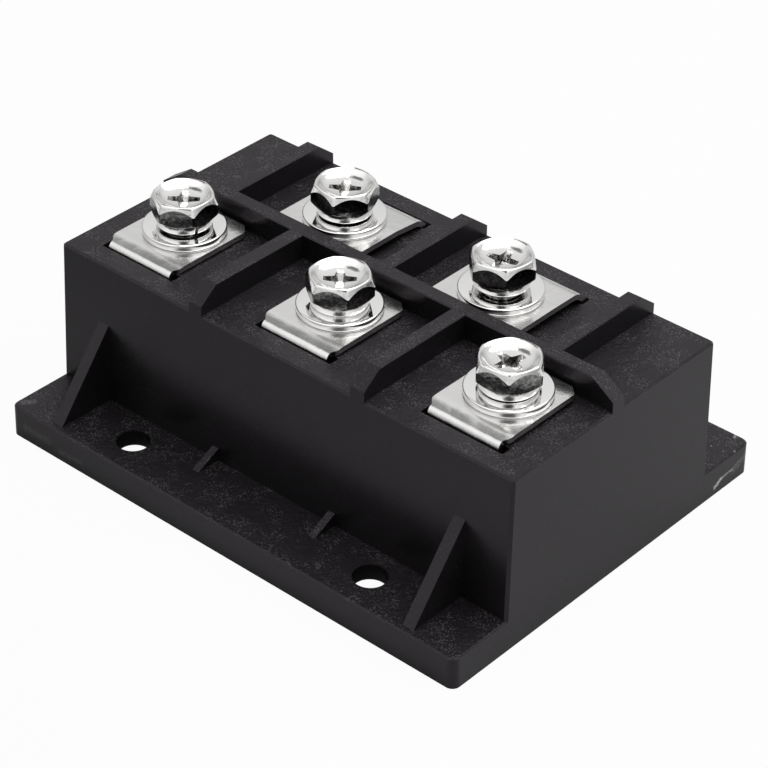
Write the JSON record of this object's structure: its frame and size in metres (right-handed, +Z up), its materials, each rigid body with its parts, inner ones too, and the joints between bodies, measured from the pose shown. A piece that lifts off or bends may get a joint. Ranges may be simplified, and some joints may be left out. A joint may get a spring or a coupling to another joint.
{
  "type": "bridge rectifier module",
  "caption": "Black moulded power rectifier block with flanges, barrier ribs and plated screw terminals on a metal base.",
  "frame": {"origin": "centre of the underside of the base plate, on the plane the module stands on", "axes": "+X along the module, from the first AC terminal to the third; +Y from the AC side to the DC side; +Z up"},
  "size_m": [0.08, 0.0622, 0.0345],
  "materials": {
    "black_moulding": "satin, fine grain",
    "plated_base": "nickel plated copper, satin",
    "white_ceramic": "matte",
    "bare_copper": "bare copper, satin",
    "silicon": "satin",
    "clear_gel": "clear silicone gel",
    "black_epoxy": "cast epoxy",
    "nickel_strip": "nickel plated copper, bright",
    "nickel_screw": "nickel plated steel, bright",
    "nickel_washer": "nickel plated steel, polished"
  },
  "bodies": {
    "root": {"housing": "black_moulding", "base_plate": "plated_base", "ceramic_plate": "white_ceramic", "positive_plate": "bare_copper", "negative_link": "bare_copper", "silicone_gel": "clear_gel", "epoxy_fill": "black_epoxy", "ac_plate_1": "bare_copper", "jumper_1": "bare_copper", "diode_upper_1": "silicon", "diode_lower_1": "silicon", "ac_plate_2": "bare_copper", "jumper_2": "bare_copper", "diode_upper_2": "silicon", "diode_lower_2": "silicon", "ac_plate_3": "bare_copper", "jumper_3": "bare_copper", "diode_upper_3": "silicon", "diode_lower_3": "silicon", "terminal_ac_1": "nickel_strip", "nut_ac_1": "nickel_screw", "screw_ac_1": "nickel_screw", "spring_washer_ac_1": "nickel_screw", "flat_washer_ac_1": "nickel_washer", "terminal_ac_2": "nickel_strip", "nut_ac_2": "nickel_screw", "screw_ac_2": "nickel_screw", "spring_washer_ac_2": "nickel_screw", "flat_washer_ac_2": "nickel_washer", "terminal_ac_3": "nickel_strip", "nut_ac_3": "nickel_screw", "screw_ac_3": "nickel_screw", "spring_washer_ac_3": "nickel_screw", "flat_washer_ac_3": "nickel_washer", "terminal_negative": "nickel_strip", "nut_negative": "nickel_screw", "screw_negative": "nickel_screw", "spring_washer_negative": "nickel_screw", "flat_washer_negative": "nickel_washer", "terminal_positive": "nickel_strip", "nut_positive": "nickel_screw", "screw_positive": "nickel_screw", "spring_washer_positive": "nickel_screw", "flat_washer_positive": "nickel_washer"}
  },
  "joints": []
}
